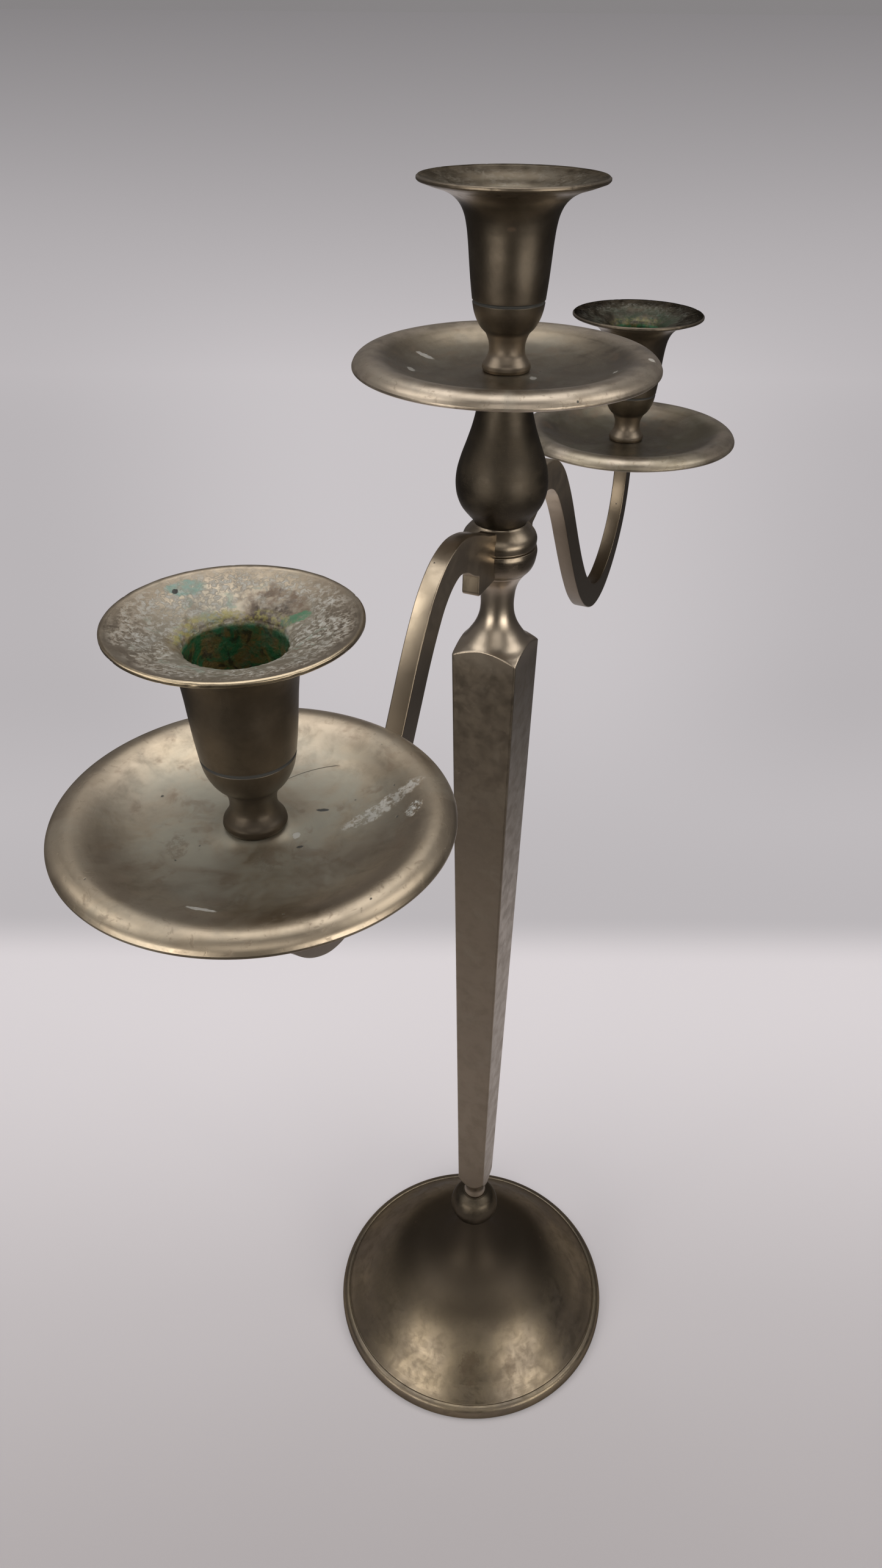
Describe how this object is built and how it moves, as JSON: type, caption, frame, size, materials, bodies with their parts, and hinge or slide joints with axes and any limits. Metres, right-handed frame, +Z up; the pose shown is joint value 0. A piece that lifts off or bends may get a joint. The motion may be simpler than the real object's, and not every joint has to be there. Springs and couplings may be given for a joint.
{
  "type": "tabletop candelabra",
  "caption": "Tall candelabra with a square tapered column, S-curved side arms and flared candle cups over dished drip pans.",
  "frame": {"origin": "centre of the round base, at table level", "axes": "+Z up the column; the arms lie along X, left arm at -X and right arm at +X"},
  "size_m": [0.401, 0.141, 0.545],
  "materials": {
    "aged_plate": "satin",
    "steel": "satin",
    "ballast_iron": "matte",
    "felt": "matte",
    "fibre": "matte"
  },
  "bodies": {
    "root": {"felt_pad": "felt", "base_shell": "aged_plate", "base_weight": "ballast_iron", "base_washer": "steel", "base_nut": "steel", "tie_rod": "steel", "knop_ring": "aged_plate", "column": "aged_plate", "pear_knob": "aged_plate", "centre_pan_washer": "fibre"},
    "arms": {"arm_hub": "aged_plate", "left_arm": "aged_plate", "right_arm": "aged_plate", "arm_studs": "steel", "cup_studs": "steel", "side_pan_washers": "fibre"},
    "centre_pan": {"centre_pan": "aged_plate"},
    "left_pan": {"left_pan": "aged_plate"},
    "right_pan": {"right_pan": "aged_plate"},
    "centre_cup": {"centre_cup": "aged_plate"},
    "left_cup": {"left_cup": "aged_plate"},
    "right_cup": {"right_cup": "aged_plate"}
  },
  "joints": [
    {"name": "arm_swivel", "type": "hinge", "parent": "root", "child": "arms", "pos_m": [0, 0, 0.437], "axis": [0, 0, 1], "continuous": true},
    {"name": "centre_pan_turn", "type": "hinge", "parent": "root", "child": "centre_pan", "pos_m": [0, 0, 0.4917], "axis": [0, 0, 1], "continuous": true},
    {"name": "left_pan_turn", "type": "hinge", "parent": "arms", "child": "left_pan", "pos_m": [-0.154, 0, 0.4267], "axis": [0, 0, 1], "continuous": true},
    {"name": "right_pan_turn", "type": "hinge", "parent": "arms", "child": "right_pan", "pos_m": [0.154, 0, 0.4267], "axis": [0, 0, 1], "continuous": true},
    {"name": "centre_cup_turn", "type": "hinge", "parent": "root", "child": "centre_cup", "pos_m": [0, 0, 0.498], "axis": [0, 0, 1], "continuous": true},
    {"name": "left_cup_turn", "type": "hinge", "parent": "arms", "child": "left_cup", "pos_m": [-0.154, 0, 0.433], "axis": [0, 0, 1], "continuous": true},
    {"name": "right_cup_turn", "type": "hinge", "parent": "arms", "child": "right_cup", "pos_m": [0.154, 0, 0.433], "axis": [0, 0, 1], "continuous": true}
  ]
}
